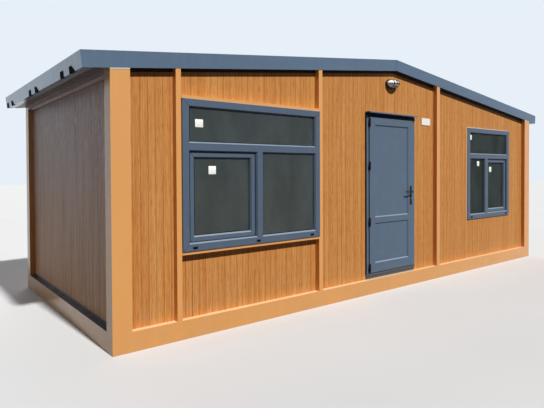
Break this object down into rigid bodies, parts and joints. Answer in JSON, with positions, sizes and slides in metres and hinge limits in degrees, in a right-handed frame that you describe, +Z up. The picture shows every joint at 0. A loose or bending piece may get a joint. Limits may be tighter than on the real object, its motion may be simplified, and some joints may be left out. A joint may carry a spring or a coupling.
{
  "type": "container house",
  "caption": "Container house with a low gable roof, a steel frame round recessed wood-look wall panels, glazed windows and a hinged panelled door.",
  "frame": {"origin": "on the ground at the middle of the plan of the steel frame", "axes": "+Z up, -Y towards the long front with the door, +X to the right seen from the front"},
  "size_m": [8.0258, 3.214, 2.9834],
  "materials": {
    "golden_oak_steel": "golden oak wood-look foil on steel, satin",
    "wood_look_panel": "golden oak wood-look coated sheet with fine vertical grain, satin",
    "anthracite_sheet": "blue-grey anthracite coated sheet, satin",
    "roof_sheet": "blue-grey anthracite trapezoidal roof sheet, satin",
    "anthracite_frame": "blue-grey anthracite window profile, fine texture",
    "window_glass": "clear double glazing",
    "threshold_metal": "brushed threshold",
    "black_hardware": "black powder coat",
    "lock_metal": "satin nickel",
    "window_handle_metal": "satin anodised",
    "floor_board": "plain floor board",
    "lamp_body": "black moulded plastic",
    "lamp_lens": "ribbed clear glass",
    "white_plate": "blank white plate"
  },
  "bodies": {
    "house": {"base_sills_long": "golden_oak_steel", "base_sills_end": "golden_oak_steel", "corner_posts_front": "golden_oak_steel", "corner_posts_rear": "golden_oak_steel", "slim_posts_front": "golden_oak_steel", "slim_posts_rear": "golden_oak_steel", "eave_rails": "golden_oak_steel", "gable_rails": "golden_oak_steel", "large_window_trims": "golden_oak_steel", "front_wall_bay_1": "wood_look_panel", "front_wall_bay_2": "wood_look_panel", "front_wall_left_of_door": "wood_look_panel", "front_wall_right_of_door": "wood_look_panel", "front_wall_over_door": "wood_look_panel", "front_wall_bay_4": "wood_look_panel", "rear_wall_bay_1": "wood_look_panel", "rear_wall_bay_2": "wood_look_panel", "rear_wall_bay_3": "wood_look_panel", "rear_wall_bay_4": "wood_look_panel", "left_wall": "wood_look_panel", "right_wall": "wood_look_panel", "side_flashings": "anthracite_sheet", "ridge_cap": "anthracite_sheet", "verge_fascia_front": "anthracite_sheet", "verge_fascia_rear": "anthracite_sheet", "eave_fascia_left": "anthracite_sheet", "eave_fascia_right": "anthracite_sheet", "door_drip_profile": "anthracite_sheet", "roof_panel_left": "roof_sheet", "roof_panel_right": "roof_sheet", "large_window_frame": "anthracite_frame", "large_window_sash": "anthracite_frame", "small_window_frame": "anthracite_frame", "small_window_sash": "anthracite_frame", "door_frame": "anthracite_frame", "large_window_glass": "window_glass", "small_window_glass": "window_glass", "door_threshold": "threshold_metal", "door_hinges_frame_side": "black_hardware", "floor_deck": "floor_board", "lamp_housing": "lamp_body", "lamp_guard": "lamp_body", "window_handles": "window_handle_metal", "lamp_glass": "lamp_lens", "blank_plate": "white_plate"},
    "door": {"door_leaf": "anthracite_frame", "door_hinges_leaf_side": "black_hardware", "door_handle_plates": "black_hardware", "door_lock_cylinder": "lock_metal"},
    "lever": {"door_levers": "black_hardware"}
  },
  "joints": [
    {"name": "door_hinge", "type": "hinge", "parent": "house", "child": "door", "pos_m": [-0.5, -1.56, 1.2], "axis": [0, 0, -1], "range_deg": [0, 110]},
    {"name": "lever_turn", "type": "hinge", "parent": "door", "child": "lever", "pos_m": [0.3425, -1.516, 1.256], "axis": [0, -1, 0], "range_deg": [0, 40], "stiffness_Nm_per_rad": 1.5, "springref_deg": -34.38}
  ]
}
